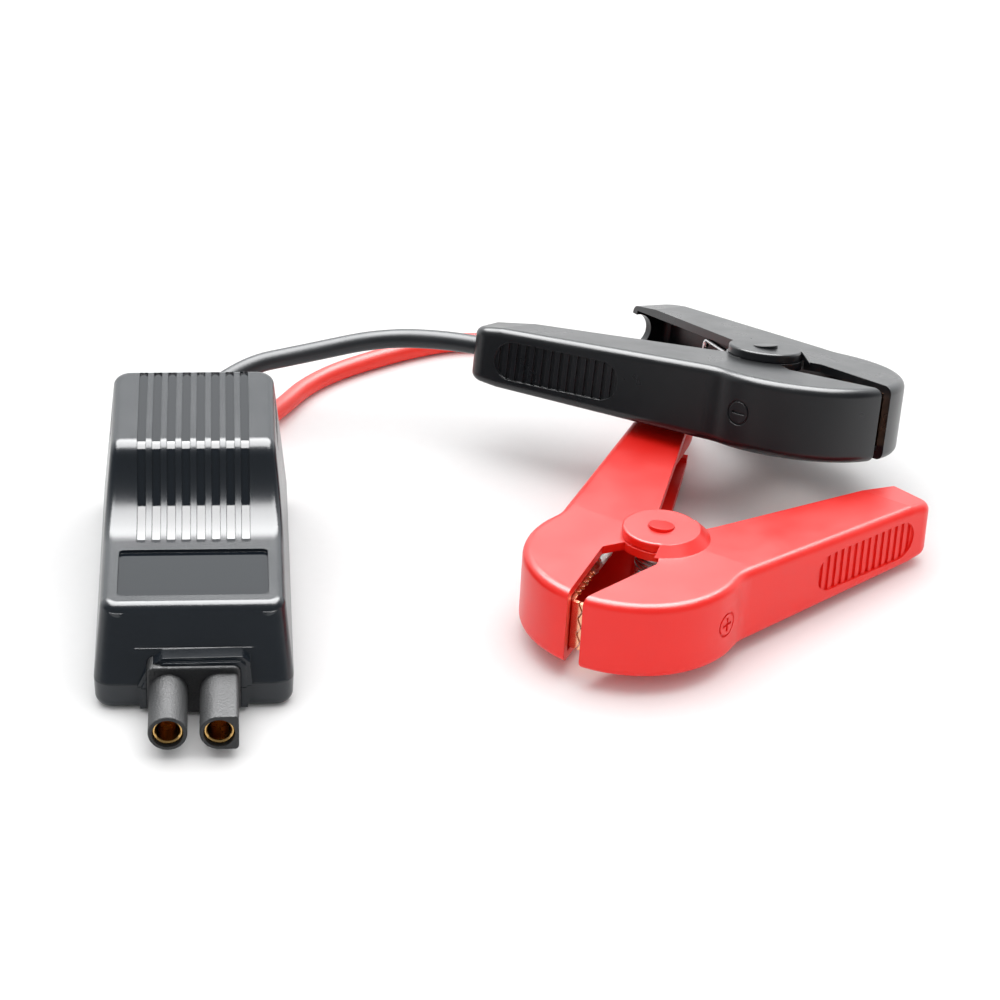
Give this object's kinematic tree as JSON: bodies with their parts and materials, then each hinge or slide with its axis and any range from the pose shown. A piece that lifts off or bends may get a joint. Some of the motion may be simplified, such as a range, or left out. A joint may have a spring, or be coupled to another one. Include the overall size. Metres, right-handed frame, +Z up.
{
  "type": "jumper clamp set",
  "caption": "Control box with a two-barrel plug, two cords and two sprung jumper clamps, lying as set down, for connecting a starter pack to a car battery.",
  "frame": {"origin": "middle of the footprint of the box and both clamps, on the surface they lie on", "axes": "+Y from the plug along the box to the cords, +X from the box towards the clamps, +Z up"},
  "size_m": [0.1916, 0.1877, 0.0395],
  "materials": {
    "gloss_black": "polished black ABS",
    "satin_black": "fine-textured black nylon",
    "brass": "machined brass",
    "copper": "formed copper sheet",
    "board_green": "solder mask",
    "relay_blue": "moulded relay case",
    "chip_black": "moulded chip body",
    "can_aluminium": "sleeved aluminium can",
    "tin": "tinned copper",
    "boot_rubber": "matt rubber",
    "cord_black": "silicone rubber",
    "cord_red": "silicone rubber",
    "nylon_black": "satin moulded nylon",
    "nylon_red": "satin moulded nylon",
    "zinc_steel": "zinc-plated steel",
    "spring_steel": "zinc-plated spring wire"
  },
  "bodies": {
    "control_set": {"top_cover": "gloss_black", "bottom_cover": "gloss_black", "case_screws": "zinc_steel", "plug_body": "satin_black", "plug_socket_negative": "brass", "plug_socket_positive": "brass", "socket_links": "copper", "circuit_board": "board_green", "power_relay": "relay_blue", "control_chip": "chip_black", "smoothing_capacitors": "can_aluminium", "board_resistors": "chip_black", "cord_ferrules": "tin", "negative_cord_boot": "boot_rubber", "positive_cord_boot": "boot_rubber", "negative_cord": "cord_black", "positive_cord": "cord_red", "black_cable_half": "nylon_black", "black_cable_contact": "copper", "black_cable_contact_screw": "zinc_steel", "black_cable_lug": "tin", "black_spring": "spring_steel", "red_cable_half": "nylon_red", "red_cable_contact": "copper", "red_cable_contact_screw": "zinc_steel", "red_cable_lug": "tin", "red_spring": "spring_steel"},
    "black_lever": {"black_lever_half": "nylon_black", "black_lever_contact": "copper", "black_lever_contact_screw": "zinc_steel"},
    "red_lever": {"red_lever_half": "nylon_red", "red_lever_contact": "copper", "red_lever_contact_screw": "zinc_steel"}
  },
  "joints": [
    {"name": "black_clamp_pivot", "type": "hinge", "parent": "control_set", "child": "black_lever", "pos_m": [0.06122, 0.02535, 0.02312], "axis": [0.1016, 0.2635, 0.9593], "range_deg": [0, 30], "stiffness_Nm_per_rad": 0.6, "springref_deg": -45.84, "deforming": ["black_spring"]},
    {"name": "red_clamp_pivot", "type": "hinge", "parent": "control_set", "child": "red_lever", "pos_m": [0.02974, -0.03781, 0.0116], "axis": [0.0257, 0.0474, 0.9985], "range_deg": [0, 26], "stiffness_Nm_per_rad": 0.6, "springref_deg": -45.84, "deforming": ["red_spring"]}
  ]
}
